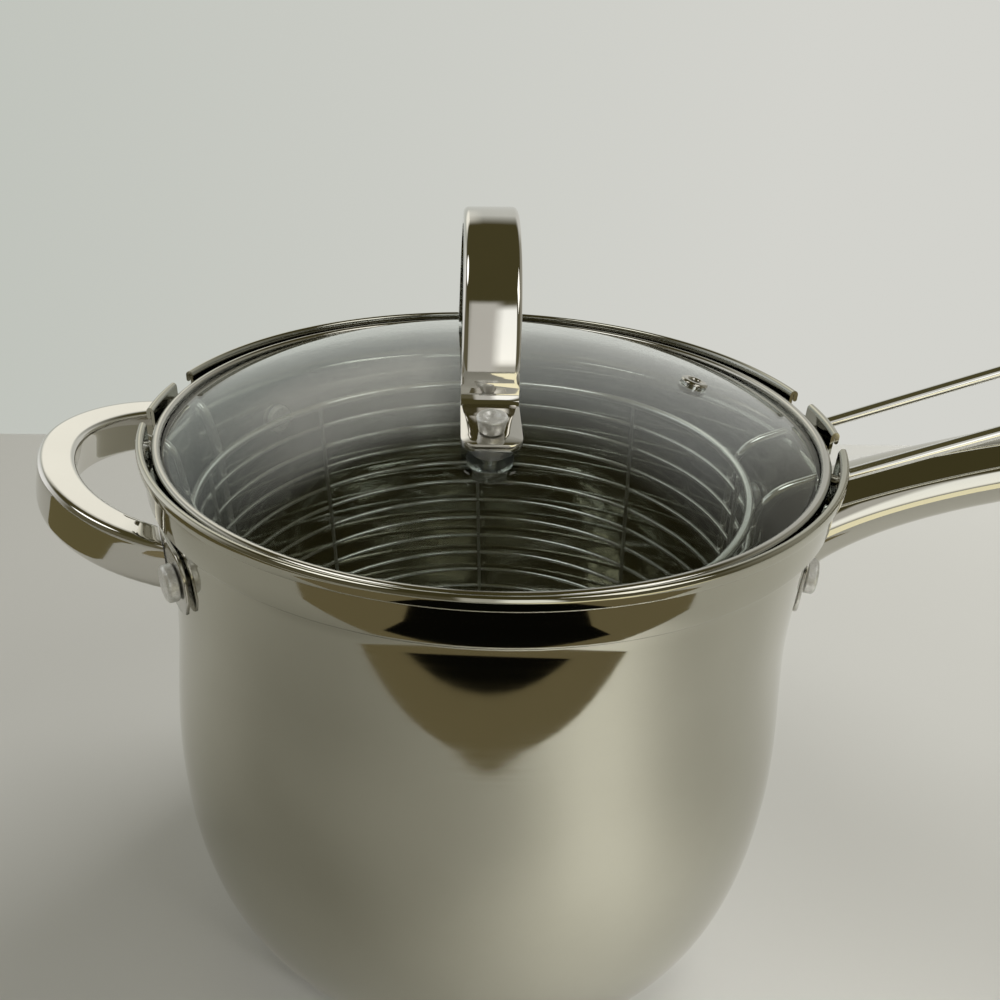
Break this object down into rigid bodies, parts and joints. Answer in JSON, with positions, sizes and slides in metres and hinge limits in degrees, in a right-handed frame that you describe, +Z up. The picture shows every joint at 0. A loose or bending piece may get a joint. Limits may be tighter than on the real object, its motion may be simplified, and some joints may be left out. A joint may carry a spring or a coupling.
{
  "type": "stockpot with basket",
  "caption": "Deep belly-shaped steel cooking pot with a long handle, a helper loop, a hanging wire basket with a bent wire handle, and a domed glass lid under a strap handle.",
  "frame": {"origin": "middle of the base, on the surface that the pot stands on", "axes": "+Z up out of the pot, +X along the long handle and the basket's handle, -X towards the loop handle"},
  "size_m": [0.4471, 0.231, 0.2811],
  "materials": {
    "mirror_steel": "mirror-polished stainless steel",
    "satin_steel": "satin stainless steel",
    "wire_steel": "bright drawn stainless wire",
    "satin_aluminium": "satin, lightly brushed",
    "clear_glass": "clear tempered glass with a faint grey-green tint",
    "silicone": "translucent silicone"
  },
  "bodies": {
    "pot": {"pot_body": "mirror_steel", "base_cap": "satin_steel", "base_core": "satin_aluminium", "loop_handle": "mirror_steel", "loop_bracket": "satin_steel", "loop_rivet_front": "satin_aluminium", "loop_rivet_back": "satin_aluminium", "long_handle": "mirror_steel", "long_handle_bracket": "satin_steel", "long_handle_rivet_front": "satin_aluminium", "long_handle_rivet_back": "satin_aluminium"},
    "basket": {"basket_top_ring": "wire_steel", "basket_ring_01": "wire_steel", "basket_ring_02": "wire_steel", "basket_ring_03": "wire_steel", "basket_ring_04": "wire_steel", "basket_ring_05": "wire_steel", "basket_ring_06": "wire_steel", "basket_ring_07": "wire_steel", "basket_ring_08": "wire_steel", "basket_ring_09": "wire_steel", "basket_ring_10": "wire_steel", "basket_ring_11": "wire_steel", "basket_ring_12": "wire_steel", "basket_ring_13": "wire_steel", "basket_rib_1": "wire_steel", "basket_rib_2": "wire_steel", "basket_rib_3": "wire_steel", "basket_rib_4": "wire_steel", "basket_rib_5": "wire_steel", "basket_rib_6": "wire_steel", "basket_rib_7": "wire_steel", "basket_rib_8": "wire_steel", "basket_floor_ring_1": "wire_steel", "basket_floor_ring_2": "wire_steel", "basket_floor_ring_3": "wire_steel", "basket_floor_ring_4": "wire_steel", "basket_handle_wire": "wire_steel", "basket_hook_front": "wire_steel", "basket_hook_back": "wire_steel"},
    "lid": {"lid_glass": "clear_glass", "lid_ring": "mirror_steel", "lid_handle": "mirror_steel", "lid_stud_front": "satin_aluminium", "lid_stud_back": "satin_aluminium", "lid_washer_front": "silicone", "lid_washer_back": "silicone", "lid_inner_washer_front": "silicone", "lid_inner_washer_back": "silicone", "lid_nut_front": "satin_steel", "lid_nut_back": "satin_steel", "lid_vent_eyelet": "satin_steel"}
  },
  "joints": [
    {"name": "basket_lift", "type": "slide", "parent": "pot", "child": "basket", "axis": [0, 0, 1], "range_m": [0, 0.185]},
    {"name": "lid_lift", "type": "slide", "parent": "basket", "child": "lid", "axis": [0, 0, 1], "range_m": [0, 0.06]}
  ]
}
